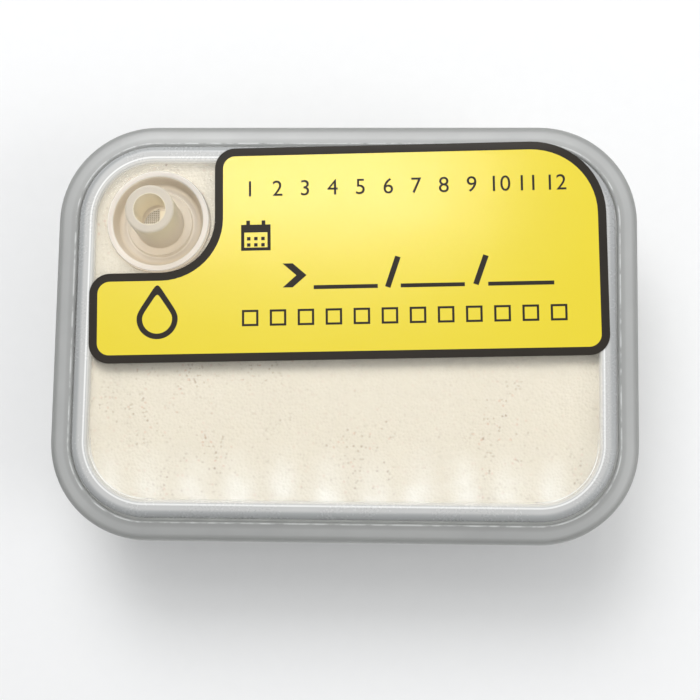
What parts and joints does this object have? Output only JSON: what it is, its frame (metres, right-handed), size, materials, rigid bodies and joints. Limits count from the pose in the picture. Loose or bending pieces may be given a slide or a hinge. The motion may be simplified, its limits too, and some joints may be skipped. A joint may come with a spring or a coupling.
{
  "type": "descaling cartridge",
  "caption": "Flat translucent water-softening cartridge with a cream resin filling, a hose nozzle in a sunk cup, inlet windows along one long side and a yellow label.",
  "frame": {"origin": "middle of the flat back, on the surface that the cartridge lies on", "axes": "+X along the long side, +Y towards the edge with the outlet, +Z out of the labelled face"},
  "size_m": [0.11, 0.0792, 0.036],
  "materials": {
    "clear_plastic": "slightly milky translucent moulded plastic",
    "cover_plastic": "slightly milky translucent moulded plastic",
    "resin": "fine cream granules with brown and pink specks",
    "mesh": "fine woven nylon mesh",
    "inner_plastic": "satin natural plastic",
    "label_print": "glossy yellow vinyl with a dark border"
  },
  "bodies": {
    "root": {"rear_tub": "clear_plastic", "front_cover": "cover_plastic", "resin_bed": "resin", "inlet_mesh": "mesh", "inlet_frame": "inner_plastic", "outlet_mesh": "mesh", "outlet_ring": "inner_plastic", "label": "label_print"}
  },
  "joints": []
}
